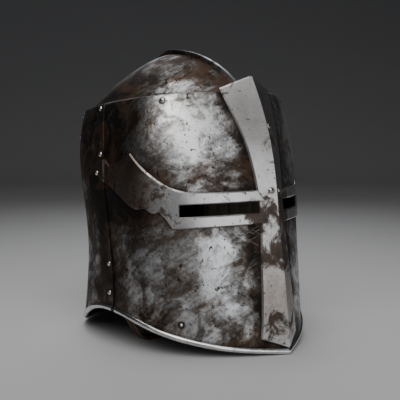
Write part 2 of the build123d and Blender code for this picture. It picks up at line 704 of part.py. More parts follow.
def strap_nodes(places):
    """Both straps with their rivets, the keeper and the buckle."""
    short = drilled(make_short_strap(), places)
    rivets, burrs = fasten(grips(places, BACK_LAYER[1], STRAP_WALL - 2 * LONG_STRAP[0][0]))
    stitch = [(place, 2 * STRAP_THICKNESS + 2 * SEAM_AIR) for place in stitch_places()]
    stitch_rivets, stitch_burrs = fasten(stitch, SMALL_RIVET_HEAD, SMALL_RIVET_SHANK)
    return {
        "chin_strap_right": drilled(make_long_strap(), places),
        "chin_strap_left": drilled(short, stitch_places(), SMALL_RIVET_SHANK),
        "strap_keeper": make_keeper(),
        "strap_rivets": rivets + burrs + stitch_rivets + stitch_burrs,
        "buckle_frame": make_buckle_frame(),
        "buckle_prong": make_prong(),
    }


def main():
    crown_grips = [(place, top - BAND_LAYER[0] + 2 * HOLE_AIR) for place, top in crown_places()]
    crown = [place for place, grip in crown_grips]
    seam, tails, upright, small = seam_places(), tail_places(), upright_places(), small_places()
    strap_places = seam[2:4]
    plain_seam = seam[:2] + seam[4:]
    nodes = {
        **shell_nodes(crown, seam, tails, upright, small),
        **fastener_nodes(crown_grips, plain_seam, tails, upright, small),
        **lining_nodes(crown, small),
        **strap_nodes(strap_places),
    }
    os.makedirs("parts", exist_ok=True)
    for name, shape in nodes.items():
        solids = shape if isinstance(shape, list) else [shape]
        moved = [Pos(0, FORE_AND_AFT, 0) * solid for solid in solids]
        export_step(Compound(children=moved) if len(moved) > 1 else moved[0], "parts/%s.step" % name)


main()
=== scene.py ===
"""Looks of a riveted great helm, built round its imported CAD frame.

Metres, in the frame's own axes: +Z up, the keel of the face towards -Y, the wearer's right towards -X.
"""

import json
import math

import bmesh
import bpy
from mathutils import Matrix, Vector

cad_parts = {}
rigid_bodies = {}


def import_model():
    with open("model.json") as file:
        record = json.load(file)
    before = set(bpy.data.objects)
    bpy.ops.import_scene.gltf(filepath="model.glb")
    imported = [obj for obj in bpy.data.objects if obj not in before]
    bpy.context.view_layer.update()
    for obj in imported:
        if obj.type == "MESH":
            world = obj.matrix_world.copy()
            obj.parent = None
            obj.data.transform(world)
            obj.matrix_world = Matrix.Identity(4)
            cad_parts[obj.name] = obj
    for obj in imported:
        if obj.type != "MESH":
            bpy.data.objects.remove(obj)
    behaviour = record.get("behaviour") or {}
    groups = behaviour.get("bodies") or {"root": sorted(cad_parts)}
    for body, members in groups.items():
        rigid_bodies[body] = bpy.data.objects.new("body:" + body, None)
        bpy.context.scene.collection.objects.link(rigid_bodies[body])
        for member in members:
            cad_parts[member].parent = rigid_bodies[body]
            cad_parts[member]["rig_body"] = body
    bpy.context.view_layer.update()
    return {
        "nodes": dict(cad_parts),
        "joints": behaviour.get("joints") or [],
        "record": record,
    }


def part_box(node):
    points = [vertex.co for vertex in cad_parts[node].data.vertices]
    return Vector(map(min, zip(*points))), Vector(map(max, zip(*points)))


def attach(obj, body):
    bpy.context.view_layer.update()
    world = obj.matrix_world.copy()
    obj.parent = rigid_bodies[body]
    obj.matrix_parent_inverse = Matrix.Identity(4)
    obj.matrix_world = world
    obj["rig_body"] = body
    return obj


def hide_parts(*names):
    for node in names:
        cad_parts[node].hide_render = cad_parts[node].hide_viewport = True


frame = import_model()
NODES = frame["nodes"]

MM = 0.001
WELD = 1e-6

# ---------------------------------------------------------------- camera
CAMERA_AZIMUTH = -43          # degrees off the keel, towards the wearer's right
CAMERA_ELEVATION = 5.75
CAMERA_DISTANCE = 1.055
CAMERA_TARGET = Vector((0, 4.3 * MM, 153.3 * MM))
CAMERA_SLIDE = (12.0 * MM, 3.6 * MM)     # to the right and up, with the view's direction kept
CAMERA_LENS = 78.9
SENSOR = 36

# ---------------------------------------------------------------- light and floor
FLOOR_RADIUS = 2.3            # the floor is level this far out,
SWEEP_RADIUS = 1.1            # then sweeps up
WALL_TOP = 3.4                # into a round backdrop of this height
SWEEP_STEPS = 14
SWEEP_SIDES = 96
FLOOR_COLOUR = (0.58, 0.58, 0.59, 1)
FLOOR_CLOUD = (0.50, 0.50, 0.51, 1)
SKY_COLOUR = (0.42, 0.43, 0.45, 1)
SKY_STRENGTH = 0.10
LIGHT_SPREAD = math.radians(80)
# name, azimuth off the keel, elevation, distance, size, watts, colour
LIGHTS = (
    ("key", -46, 47, 1.50, 1.5, 5.4, (1.0, 0.985, 0.96)),
    ("front", -16, 8, 1.60, 0.8, 0.8, (0.96, 0.98, 1.0)),
    ("top", -170, 78, 1.60, 0.55, 1.0, (1.0, 1.0, 1.0)),
    ("back", 138, 30, 1.80, 1.1, 1.7, (0.94, 0.97, 1.0)),
)

# ---------------------------------------------------------------- shape details
EDGE_BEVEL = 1.3 * MM         # filed edge of the cross
SHEET_BEVEL = 0.45 * MM       # filed edge of the plates
SKIN_FACING = 0.6             # a face this square to the helm's axis belongs to the outer skin
EDGE_ANGLE = math.radians(40)
MITRE_LIMIT = 1.6

HEAD_AXIS = Vector((0, 22 * MM, 0))       # the quilting's channels fan out from here
PAD_VOXEL = 3.6 * MM
TONGUE_VOXEL = 2.4 * MM
LEATHER_VOXEL = 0.9 * MM
BAND_VOXEL = 1.2 * MM
STRAP_HALF_WIDTH = 10 * MM


# ---------------------------------------------------------------- material graphs
class Graph:
    """One material's node tree, with short calls for the nodes that the finishes share."""

    def __init__(self, name):
        self.material = bpy.data.materials.new(name)
        self.material.use_nodes = True
        self.tree = self.material.node_tree
        self.shader = self.tree.nodes["Principled BSDF"]
        self.point = self.node("ShaderNodeTexCoord").outputs["Object"]
        parts = self.node("ShaderNodeSeparateXYZ")
        self.feed(parts.inputs[0], self.point)
        self.x, self.y, self.z = parts.outputs
        self.side = self.math("ABSOLUTE", self.x)
        mirrored = self.node("ShaderNodeCombineXYZ")
        for socket, value in zip(mirrored.inputs, (self.side, self.y, self.z)):
            self.feed(socket, value)
        self.mirrored = mirrored.outputs[0]

    def node(self, kind, **settings):
        made = self.tree.nodes.new(kind)
        for key, value in settings.items():
            setattr(made, key, value)
        return made

    def feed(self, socket, value):
        if isinstance(value, bpy.types.NodeSocket):
            self.tree.links.new(value, socket)
        else:
            socket.default_value = value

    def math(self, operation, a, b=0.0, c=0.0):
        made = self.node("ShaderNodeMath", operation=operation)
        for socket, value in zip(made.inputs, (a, b, c)):
            self.feed(socket, value)
        return made.outputs[0]

    def total(self, *terms):
        """The sum of (socket, factor) pairs."""
        so_far = 0.0
        for socket, factor in terms:
            so_far = self.math("MULTIPLY_ADD", socket, factor, so_far)
        return so_far

    def step(self, value, low, high):
        """0 below low, 1 above high and smooth between them; low may be the larger."""
        made = self.node("ShaderNodeMapRange", interpolation_type="SMOOTHSTEP")
        flipped = low > high
        self.feed(made.inputs["Value"], value)
        made.inputs["From Min"].default_value = min(low, high)
        made.inputs["From Max"].default_value = max(low, high)
        made.inputs["To Min"].default_value = float(flipped)
        made.inputs["To Max"].default_value = float(not flipped)
        return made.outputs["Result"]

    def noise(self, scale, detail=4.0, rough=0.6, warp=0.0, stretch=None, turn=(0, 0, 0), seed=0.0):
        """Noise from 0 to 1 about 0.5. stretch scales the axes after turn has rotated them."""
        turned = self.node("ShaderNodeVectorRotate", rotation_type="EULER_XYZ")
        self.feed(turned.inputs["Vector"], self.point)
        turned.inputs["Rotation"].default_value = turn
        place = self.node("ShaderNodeMapping")
        self.feed(place.inputs["Vector"], turned.outputs["Vector"])
        place.inputs["Location"].default_value = (seed, seed * 0.7, seed * 1.3)
        place.inputs["Scale"].default_value = stretch or (1, 1, 1)
        made = self.node("ShaderNodeTexNoise")
        self.feed(made.inputs["Vector"], place.outputs["Vector"])
        settings = {"Scale": scale, "Detail": detail, "Roughness": rough, "Distortion": warp}
        for key, value in settings.items():
            made.inputs[key].default_value = value
        return made.outputs["Fac"]

    def centred(self, noise):
        return self.math("SUBTRACT", noise, 0.5)

    def distance(self, place, centre):
        made = self.node("ShaderNodeVectorMath", operation="DISTANCE")
        self.feed(made.inputs[0], place)
        made.inputs[1].default_value = centre
        return made.outputs["Value"]

    def near(self, centre, radius):
        """1 at a place, in mm, and 0 beyond the radius, alike on both sides of the helm."""
        return self.step(self.distance(self.mirrored, [c * MM for c in centre]), radius * MM, 0.0)

    def rings(self, centres):
        """1 close round each rivet's head and 0 a little further out: where a ring of shade is painted."""
        nearest = self.distance(self.point, centres[0])
        for centre in centres[1:]:
            nearest = self.math("MINIMUM", nearest, self.distance(self.point, centre))
        return self.step(nearest, RING_OUTER, RING_INNER)

    def mix(self, share, a, b):
        made = self.node("ShaderNodeMix", data_type="RGBA")
        self.feed(made.inputs[0], share)
        self.feed(made.inputs[6], a)
        self.feed(made.inputs[7], b)
        return made.outputs[2]

    def ramp(self, value, stops):
        """A colour that runs through the stops, each a position and a colour."""
        made = self.node("ShaderNodeValToRGB")
        self.feed(made.inputs[0], value)
        elements = made.color_ramp.elements
        elements.remove(elements[1])
        elements[0].position = stops[0][0]
        elements[0].color = (*stops[0][1], 1)
        for position, colour in stops[1:]:
            elements.new(position).color = (*colour, 1)
        return made.outputs[0]

    def bump(self, height, depth, strength=1.0):
        made = self.node("ShaderNodeBump")
        made.inputs["Strength"].default_value = strength
        made.inputs["Distance"].default_value = depth
        self.feed(made.inputs["Height"], height)
        return made.outputs[0]

    def contact(self, distance):
        """1 in the open and lower in corners and beside raised parts: the mask of painted shade."""
        made = self.node("ShaderNodeAmbientOcclusion", samples=6)
        made.inputs["Distance"].default_value = distance
        return made.outputs["AO"]

    def finish(self, colour, rough, normal=None, metal=None):
        self.feed(self.shader.inputs["Base Color"], colour)
        self.feed(self.shader.inputs["Roughness"], rough)
        if metal is not None:
            self.feed(self.shader.inputs["Metallic"], metal)
        if normal is not None:
            self.feed(self.shader.inputs["Normal"], normal)
        return self.material


OXIDE_TO_STEEL = (
    (0.00, (0.009, 0.007, 0.006)),
    (0.22, (0.028, 0.021, 0.017)),
    (0.42, (0.088, 0.078, 0.071)),
    (0.60, (0.205, 0.197, 0.192)),
    (0.80, (0.420, 0.418, 0.420)),
    (1.00, (0.720, 0.725, 0.735)),
)
HOLE_COLOUR = (0.012, 0.009, 0.008, 1)
SCRATCH_COLOUR = (0.55, 0.54, 0.53, 1)
# the dark of nicks in polished steel, also used for painted shade in its corners
NICK_AND_SHADE_COLOUR = (0.030, 0.022, 0.018, 1)
TARNISH_COLOUR = (0.115, 0.070, 0.030, 1)
RUST_COLOUR = (0.120, 0.066, 0.038, 1)
RUST_COVER = 0.5
RING_INNER = 2.6 * MM         # painted shade round a rivet's head
RING_OUTER = 5.6 * MM
RING_SHADE = 0.55


def rivet_tops(*nodes):
    """The top of each rivet's dome, from nodes that are groups of separate solids."""
    tops = []
    for node in nodes:
        bm = welded(node)
        left = set(bm.verts)
        while left:
            island, front = set(), [min(left, key=lambda v: v.index)]
            while front:
                vert = front.pop()
                if vert in left:
                    left.discard(vert)
                    island.add(vert)
                    front += [e.other_vert(vert) for e in vert.link_edges]
            tops.append(max(island, key=lambda v: math.hypot(v.co.x, v.co.y)).co.copy())
        bm.free()
    return tops


def worn(name, level, light_and_wear_places, rust=(1.0, 0.72, 0.50), corner_shade=0.0, warm=0.0, seed=0.0,
         keel_shade=0.0):
    """Steel with a dark oxide rubbed back to bright metal in patches, with rust, pits and scratches.

    level lifts the whole surface. The places, each (centre, radius, amount) in mm, make it lighter,
    or darker if the amount is below 0: partly rubbed wear, partly a painted highlight where the light
    falls and painted shade on the sides it misses. rust tints the dark areas by as much as warm says.
    Corners get painted shade, as much as the corner shade says, and rivets a painted ring of shade.
    """
    g = Graph(name)
    cloud = g.centred(g.noise(13, 6, 0.62, 0.8, seed=seed))
    blotch = g.centred(g.noise(42, 7, 0.70, 0.7, seed=seed + 3))
    grain = g.centred(g.noise(260, 4, 0.75, seed=seed + 5))
    patch = g.centred(g.step(g.noise(21, 7, 0.62, 1.2, seed=seed + 7), 0.45, 0.55))
    streak = g.centred(g.noise(1, 5, 0.7, stretch=(34, 34, 150), turn=(0.75, 0, 0), seed=seed + 8))
    terms = [(cloud, 1.5), (blotch, 0.80), (grain, 0.60), (patch, 0.26), (streak, 0.85)]
    # painted highlight and painted shade, mixed with rubbed wear, at the listed places
    terms += [(g.near(centre, radius), amount) for centre, radius, amount in light_and_wear_places]
    field = g.math("ADD", g.total(*terms), level)
    if keel_shade:
        upright_edge = g.math("MULTIPLY_ADD", g.step(g.z, 0.20, 0.30), 0.014, 0.0265)
        beside = g.math("SUBTRACT", g.math("MULTIPLY_ADD", blotch, 0.016, g.side), upright_edge)
        shade = g.math("MULTIPLY", g.step(beside, 0.013, -0.004), g.step(g.y, -0.02, -0.08))
        field = g.math("SUBTRACT", field, g.math("MULTIPLY", shade, keel_shade))
    # a painted ring of shade round each rivet's head
    field = g.math("SUBTRACT", field, g.math("MULTIPLY", g.rings(RIVET_TOPS), RING_SHADE))
    # painted shade darkens the corners and the steel beside raised parts
    if corner_shade:
        corner = g.step(g.contact(7 * MM), 0.97, 0.62)
        field = g.math("SUBTRACT", field, g.math("MULTIPLY", corner, corner_shade))
    steel = g.ramp(field, OXIDE_TO_STEEL)
    brown = g.mix(g.step(g.noise(24, 5, 0.6, seed=seed + 9), 0.46, 0.68), (1, 1, 1, 1), (*rust, 1))
    tint = g.node("ShaderNodeMix", data_type="RGBA", blend_type="MULTIPLY")
    g.feed(tint.inputs[0], g.math("MULTIPLY", g.step(field, 0.85, 0.25), warm))
    g.feed(tint.inputs[6], steel)
    g.feed(tint.inputs[7], brown)

    pit_zone = g.step(g.noise(30, 3, seed=seed + 13), 0.44, 0.62)
    pits = g.math("MULTIPLY", g.step(g.noise(310, 2, 0.5, seed=seed + 15), 0.635, 0.70), pit_zone)
    flecks = g.step(g.noise(150, 3, 0.6, 0.8, seed=seed + 16), 0.625, 0.68)
    holes = g.math("MAXIMUM", pits, flecks)
    cut_zone = g.step(g.noise(17, 2, seed=seed + 21), 0.54, 0.66)
    cuts = g.step(g.noise(1, 2, 0.5, stretch=(70, 40, 1900), turn=(0.85, 0, 0), seed=seed + 22), 0.62, 0.70)
    rubs = g.step(g.noise(1, 2, 0.5, stretch=(60, 50, 1500), turn=(-0.6, 0, 0), seed=seed + 24), 0.64, 0.72)
    scratches = g.math("MULTIPLY", g.math("MAXIMUM", cuts, rubs), cut_zone)

    rust_zone = g.step(g.noise(17, 6, 0.68, 0.9, seed=seed + 31), 0.49, 0.62)
    rusty = g.math("MULTIPLY", rust_zone, g.step(field, 0.62, 0.25))
    colour = g.mix(g.math("MULTIPLY", rusty, warm * RUST_COVER), tint.outputs[2], RUST_COLOUR)
    colour = g.mix(g.math("MULTIPLY", holes, 0.85), colour, HOLE_COLOUR)
    colour = g.mix(g.math("MULTIPLY", scratches, 0.35), colour, SCRATCH_COLOUR)
    rough = g.total((g.step(field, 0.95, 0.15), 0.26), (grain, 0.22), (holes, 0.2))
    rough = g.math("ADD", rough, 0.37)
    height = g.total((cloud, 0.5), (blotch, 0.35), (grain, 0.10), (holes, -0.35), (scratches, -0.04))
    normal = g.bump(height, 0.7 * MM, 0.55)
    return g.finish(colour, rough, normal, g.math("MULTIPLY_ADD", g.step(field, 0.1, 0.6), 0.25, 0.75))


def plate_steel():
    # Lighter on the upper and lower front, darker beside the seam and at the back: partly rubbed wear,
    # partly a painted highlight and painted shade.
    light_and_wear_places = (((88, -92, 240), 88, 0.62), ((72, -114, 72), 88, 0.40), ((90, -100, 130), 60, 0.16),
              ((116, 10, 160), 85, -0.55), ((112, 35, 240), 80, -0.50), ((112, -48, 172), 46, -0.62),
              ((112, 12, 70), 70, -0.30), ((0, 150, 150), 190, -0.26))
    return worn("plate_patina", 0.46, light_and_wear_places, corner_shade=0.55, warm=0.8, seed=2.0, keel_shade=0.50)


def skull_steel():
    # Lighter at the front, darker on top and towards the back: partly the crown's brown oxide, partly a
    # painted highlight and painted shade.
    light_and_wear_places = (((70, -70, 285), 62, 0.60), ((60, 20, 322), 60, -0.30), ((95, 70, 285), 80, -0.45),
              ((35, -65, 312), 40, -0.30))
    return worn("skull_patina", 0.42, light_and_wear_places, rust=(1.0, 0.64, 0.42), corner_shade=0.6, warm=1.1, seed=11.0)


def comb_steel():
    # Lighter at the front and darker at the back: partly wear, partly a painted highlight and painted
    # shade.
    light_and_wear_places = (((2, -60, 300), 55, 0.75), ((2, 60, 325), 90, -0.35))
    return worn("comb_patina", 0.52, light_and_wear_places, rust=(1.0, 0.62, 0.38), corner_shade=0.2, warm=1.2, seed=17.0)


def cross_steel():
    """Brushed bright steel, with brown-black stains about the crossing and a darker tail."""
    g = Graph("cross_brushed")
    cloud = g.centred(g.noise(20, 5, 0.6, 0.5, seed=31))
    spot = g.centred(g.noise(46, 6, 0.68, 0.9, seed=35))
    grain = g.centred(g.noise(260, 3, 0.7, seed=36))
    stain = g.total((cloud, 1.5), (spot, 1.9), (grain, 0.35),
                    (g.near((18, -130, 158), 32), 0.90), (g.near((10, -143, 116), 44), 0.60),
                    (g.near((4, -130, 228), 34), 0.62), (g.near((8, -147, 34), 34), 0.26),
                    (g.near((108, -50, 170), 40), 0.30), (g.near((119, 5, 195), 50), 0.34))
    stain = g.step(stain, 0.22, 0.52)
    tail = g.step(g.y, -0.078, -0.030)
    brushed = g.centred(g.noise(1, 3, 0.6, stretch=(12, 12, 1500), seed=41))
    tone = g.total((cloud, 0.60), (brushed, 0.16), (tail, -0.62), (grain, 0.3),
                   (g.near((12, -146, 62), 90), -0.36))
    tone = g.math("ADD", tone, 0.76)
    # a painted ring of shade round each rivet's head
    tone = g.math("SUBTRACT", tone, g.math("MULTIPLY", g.rings(RIVET_TOPS), RING_SHADE))
    clean = g.ramp(tone, ((0.0, (0.10, 0.075, 0.060)), (0.35, (0.24, 0.20, 0.175)),
                          (0.65, (0.50, 0.485, 0.475)), (1.0, (0.76, 0.76, 0.765))))
    dirt = g.ramp(g.noise(90, 4, 0.7, seed=45),
                  ((0.35, (0.012, 0.008, 0.006)), (0.65, (0.075, 0.044, 0.028))))
    specks = g.step(g.noise(230, 2, 0.5, seed=47), 0.66, 0.72)
    stained = g.math("MAXIMUM", g.math("MULTIPLY", stain, 0.93), g.math("MULTIPLY", specks, 0.8))
    rough = g.math("ADD", g.total((stained, 0.25), (brushed, 0.12), (tail, 0.06)), 0.33)
    height = g.total((brushed, 0.05), (stained, -0.30), (cloud, 0.35))
    metal = g.math("MULTIPLY_ADD", stained, -0.20, 1.0)
    return g.finish(g.mix(stained, clean, dirt), rough, g.bump(height, 0.4 * MM, 0.5), metal)


def bright_steel(name, seed, tone=0.74, nicks=0.75, crevice_shade=0.8):
    """Polished steel of beads, rivet heads and filed edges, with small dark nicks and painted shade where
    they meet other parts.
    """
    g = Graph(name)
    cloud = g.centred(g.noise(60, 4, 0.6, seed=seed))
    grain = g.centred(g.noise(500, 2, 0.6, seed=seed + 1))
    nick = g.math("MULTIPLY", g.step(g.noise(150, 3, 0.6, 0.4, seed=seed + 2), 0.60, 0.70), nicks)
    # painted shade where the piece meets another
    corner = g.math("MULTIPLY", g.step(g.contact(1.2 * MM), 0.50, 0.20), crevice_shade)
    nicks_and_shade = g.math("MAXIMUM", nick, corner)
    clean = g.ramp(g.math("MULTIPLY_ADD", cloud, 1.4, 0.6),
                   ((0.2, (tone * 0.62, tone * 0.60, tone * 0.58)), (0.7, (tone, tone, tone * 1.01))))
    rough = g.math("ADD", g.total((cloud, 0.18), (grain, 0.12), (nicks_and_shade, 0.3)), 0.22)
    height = g.total((cloud, 0.6), (grain, 0.1), (nicks_and_shade, -0.4))
    colour = g.mix(nicks_and_shade, clean, NICK_AND_SHADE_COLOUR)
    return g.finish(colour, rough, g.bump(height, 0.3 * MM, 0.6), 1.0)


def brass():
    g = Graph("aged_brass")
    cloud = g.noise(90, 5, 0.65, 0.4, seed=61)
    corner = g.step(g.contact(2.5 * MM), 0.92, 0.45)
    aged = g.math("MAXIMUM", g.step(cloud, 0.50, 0.66), corner)
    clean = g.ramp(g.noise(400, 2, seed=63), ((0.3, (0.60, 0.41, 0.15)), (0.7, (0.78, 0.57, 0.24))))
    rough = g.math("MULTIPLY_ADD", aged, 0.24, 0.24)
    normal = g.bump(g.centred(cloud), 0.2 * MM, 0.5)
    colour = g.mix(g.math("MULTIPLY", aged, 0.8), clean, TARNISH_COLOUR)
    return g.finish(colour, rough, normal, 1.0)


def leather(name, dark, light, seed, crease=None):
    """Oiled leather: a pebbled grain, handling marks, and darkened edges."""
    g = Graph(name)
    cells = g.node("ShaderNodeTexVoronoi", feature="DISTANCE_TO_EDGE")
    g.feed(cells.inputs["Vector"], g.point)
    cells.inputs["Scale"].default_value = 620
    pebble = g.step(cells.outputs["Distance"], 0.0, 0.22)
    cloud = g.noise(55, 5, 0.65, 0.6, seed=seed)
    pores = g.noise(900, 2, 0.6, seed=seed + 1)
    wear = g.step(g.noise(120, 4, 0.7, seed=seed + 2), 0.52, 0.70)
    base = g.ramp(cloud, ((0.32, dark), (0.68, light)))
    colour = g.mix(g.math("MULTIPLY", wear, 0.30), base, (*[min(1, c * 1.7) for c in light], 1))
    groove = g.math("MULTIPLY", g.step(pebble, 0.6, 0.0), 0.45)
    colour = g.mix(groove, colour, (*[c * 0.45 for c in dark], 1))
    if crease:
        line = g.node("ShaderNodeAttribute", attribute_name=crease).outputs["Fac"]
        colour = g.mix(g.math("MULTIPLY", line, 0.7), colour, (*[c * 0.4 for c in dark], 1))
    rough = g.math("ADD", g.total((g.centred(cloud), 0.25), (wear, 0.10)), 0.48)
    height = g.total((pebble, 0.5), (g.centred(pores), 0.25), (g.centred(cloud), 0.6))
    g.shader.inputs["Specular IOR Level"].default_value = 0.45
    return g.finish(colour, rough, g.bump(height, 0.22 * MM, 0.7))


def linen(name, dark, light, seed, thread=1.5 * MM):
    """Undyed quilted linen: a plain weave that follows the head, slubs, and soil in the seams."""
    g = Graph(name)
    depth = g.math("SUBTRACT", g.y, HEAD_AXIS.y)
    angle = g.math("ARCTAN2", g.x, depth)
    radius = g.math("SQRT", g.math("ADD", g.math("MULTIPLY", g.x, g.x), g.math("MULTIPLY", depth, depth)))
    around = g.math("MULTIPLY", angle, 0.1)
    along = g.math("SUBTRACT", g.z, radius)
    turns = 2 * math.pi / thread
    warp = g.math("SINE", g.math("MULTIPLY", around, turns))
    weft = g.math("SINE", g.math("MULTIPLY", along, turns))
    weave = g.math("MULTIPLY", warp, weft)
    slub = g.noise(1, 3, 0.6, stretch=(90, 90, 600), seed=seed)
    cloud = g.noise(38, 5, 0.6, 0.4, seed=seed + 1)
    seam = g.node("ShaderNodeAttribute", attribute_name="seam").outputs["Fac"]
    base = g.ramp(cloud, ((0.32, dark), (0.66, light)))
    slubbed = g.math("MULTIPLY", g.step(slub, 0.55, 0.75), 0.35)
    colour = g.mix(slubbed, base, (*[min(1, c * 1.25) for c in light], 1))
    colour = g.mix(g.step(weave, 0.2, -0.9), colour, (*[c * 0.72 for c in dark], 1))
    colour = g.mix(g.math("MULTIPLY", seam, 0.55), colour, (*[c * 0.38 for c in dark], 1))
    height = g.total((weave, 0.22), (g.centred(slub), 0.5), (g.centred(cloud), 0.8))
    g.shader.inputs["Sheen Weight"].default_value = 0.25
    g.shader.inputs["Sheen Roughness"].default_value = 0.6
    g.shader.inputs["Specular IOR Level"].default_value = 0.25
    rough = g.math("MULTIPLY_ADD", g.centred(cloud), 0.2, 0.88)
    return g.finish(colour, rough, g.bump(height, 0.35 * MM, 0.6))


def twine(name, colour, seed):
    """Waxed linen thread: fine fibres and uneven soil."""
    g = Graph(name)
    fibre = g.noise(1400, 3, 0.7, seed=seed)
    cloud = g.noise(160, 3, 0.6, seed=seed + 1)
    base = g.ramp(cloud, ((0.3, [c * 0.6 for c in colour]), (0.7, colour)))
    shaded = g.mix(g.step(fibre, 0.5, 0.36), base, (*[c * 0.5 for c in colour], 1))
    return g.finish(shaded, g.math("MULTIPLY_ADD", fibre, 0.2, 0.62), g.bump(fibre, 0.12 * MM, 0.7))


# ---------------------------------------------------------------- mesh helpers
def new_object(name, mesh, *materials):
    made = bpy.data.objects.new(name, mesh)
    bpy.context.scene.collection.objects.link(made)
    for material in materials:
        made.data.materials.append(material)
    return made


def welded(node):
    """The CAD node's mesh with its split corners joined."""
    bm = bmesh.new()
    bm.from_mesh(NODES[node].data)
    bmesh.ops.remove_doubles(bm, verts=bm.verts, dist=WELD)
    return bm


def to_mesh(bm, name):
    mesh = bpy.data.meshes.new(name)
    bm.to_mesh(mesh)
    bm.free()
    return mesh


def body_of(node):
    return NODES[node]["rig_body"]


def settle(piece, slot, body, *nodes):
    """Rides a piece on its body, in place of CAD nodes if any are named, and gives it back."""
    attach(piece, body)
    if nodes:
        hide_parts(*nodes)
    return piece


# ---------------------------------------------------------------- filed sheet edges
def outwardness(face):
    """How squarely a face looks away from the helm's axis."""
    centre = face.calc_center_median()
    return face.normal.dot(Vector((centre.x, centre.y, 0)).normalized())


def inward(edge, face):
    """The direction along a face, square to one of its edges, that leads into the face."""
    a, b = (v.co for v in edge.verts)
    across = face.normal.cross(b - a).normalized()
    return across if across.dot(face.calc_center_median() - a) > 0 else -across


def mitre(directions, width):
    """The move of a corner that shifts both its edges by the width."""
    total = sum(directions, Vector()).normalized()
    share = max(total.dot(directions[0]), 1 / MITRE_LIMIT)
    return total * (width / share)


BEVEL = 2                     # marks a bevel among the skin's faces, 1, and the others, 0


def place_key(place):
    return tuple(round(c, 7) for c in place)


def cad_normals(node):
    """The CAD surface normals that meet at each place of a node's mesh."""
    found = {}
    mesh = NODES[node].data
    for loop, normal in zip(mesh.loops, mesh.corner_normals):
        key = place_key(mesh.vertices[loop.vertex_index].co)
        found.setdefault(key, []).append(Vector(normal.vector))
    return found


def filed(node, name, width, material, edge_material):
    """A copy of a sheet whose outer edges are filed to a narrow bevel of their own material."""
    normals = cad_normals(node)
    bm = welded(node)
    layer = bm.faces.layers.int.new("skin")
    origin = bm.verts.layers.float_vector.new("origin")
    bm.normal_update()
    for vert in bm.verts:
        vert[origin] = vert.co
    for face in bm.faces:
        face[layer] = outwardness(face) > SKIN_FACING
        face.material_index = int(abs(outwardness(face)) < SKIN_FACING)
    rims = [e for e in bm.edges if len(e.link_faces) == 2
            and sum(f[layer] for f in e.link_faces) == 1 and e.calc_face_angle() > EDGE_ANGLE]
    spans, moves = [], {}
    for edge in rims:
        wall, top = sorted(edge.link_faces, key=lambda f: f[layer])
        spans.append(([place_key(v.co) for v in edge.verts], top.normal.copy()))
        for vert in edge.verts:
            on_wall, on_skin = moves.setdefault(place_key(vert.co), ([], []))
            on_wall.append(inward(edge, wall))
            on_skin.append(inward(edge, top))
    bmesh.ops.split_edges(bm, edges=rims)
    pairs = {}
    for vert in bm.verts:
        key = place_key(vert.co)
        if key in moves and vert.link_faces:
            side = vert.link_faces[0][layer]
            vert.co += mitre(moves[key][side], width)
            pairs.setdefault(key, {})[side] = vert
    for (first, second), normal in spans:
        corners = (pairs[first][0], pairs[second][0], pairs[second][1], pairs[first][1])
        face = bm.faces.new(corners)
        face.normal_update()
        if face.normal.dot(normal) < 0:
            face.normal_flip()
        face.material_index = 1
        face[layer] = BEVEL
    mesh = to_mesh(bm, name)
    mesh.shade_smooth()
    dress(mesh, normals)
    mesh.materials.clear()
    settle(new_object(name, mesh, material, edge_material), node_slot(node), body_of(node), node)


def dress(mesh, normals):
    """Gives a filed mesh the CAD's own surface normals, and flat ones on its bevels."""
    origins = [place_key(a.vector) for a in mesh.attributes["origin"].data]
    kinds = mesh.attributes["skin"].data
    corners = [None] * len(mesh.loops)
    for polygon in mesh.polygons:
        flat = polygon.normal.copy()
        for index in polygon.loop_indices:
            known = normals.get(origins[mesh.loops[index].vertex_index], [flat])
            best = max(known, key=flat.dot)
            corners[index] = flat if kinds[polygon.index].value == BEVEL else best
    mesh.normals_split_custom_set(corners)


def node_slot(node):
    return next(s["material_slot"] for s in frame["record"]["subparts"] if s["node"] == node)


# ---------------------------------------------------------------- soft pieces
def remeshed(node, name, voxel, passes=2):
    """A copy of a CAD solid with even quads, its corners rounded off."""
    source = new_object(name + "_source", to_mesh(welded(node), name))
    remesh = source.modifiers.new("even", "REMESH")
    remesh.mode = "VOXEL"
    remesh.voxel_size = voxel
    soften = source.modifiers.new("soften", "SMOOTH")
    soften.factor = 0.5
    soften.iterations = passes
    evaluated = source.evaluated_get(bpy.context.evaluated_depsgraph_get())
    mesh = bpy.data.meshes.new_from_object(evaluated)
    bpy.data.objects.remove(source)
    mesh.name = name
    mesh.materials.clear()
    return mesh


def move_along_normals(mesh, amount):
    """Moves each vertex along its normal by amount(place, normal)."""
    mesh.update()
    moves = [v.normal * amount(v.co, v.normal) for v in mesh.vertices]
    for vert, move in zip(mesh.vertices, moves):
        vert.co += move
    mesh.update()


PAD_SHRINK = 1.3 * MM
PAD_ROOM = 1.4 * MM           # how far the side against the steel may swell
PAD_SWELL = 5.5 * MM          # and the side towards the head
PAD_PRESSURE = 4.0
PAD_FRAMES = 20
PAD_QUALITY = 4
PAD_CHANNEL = 2.6 * MM        # depth of a sewn channel
TONGUE_CHANNEL = 1.9 * MM


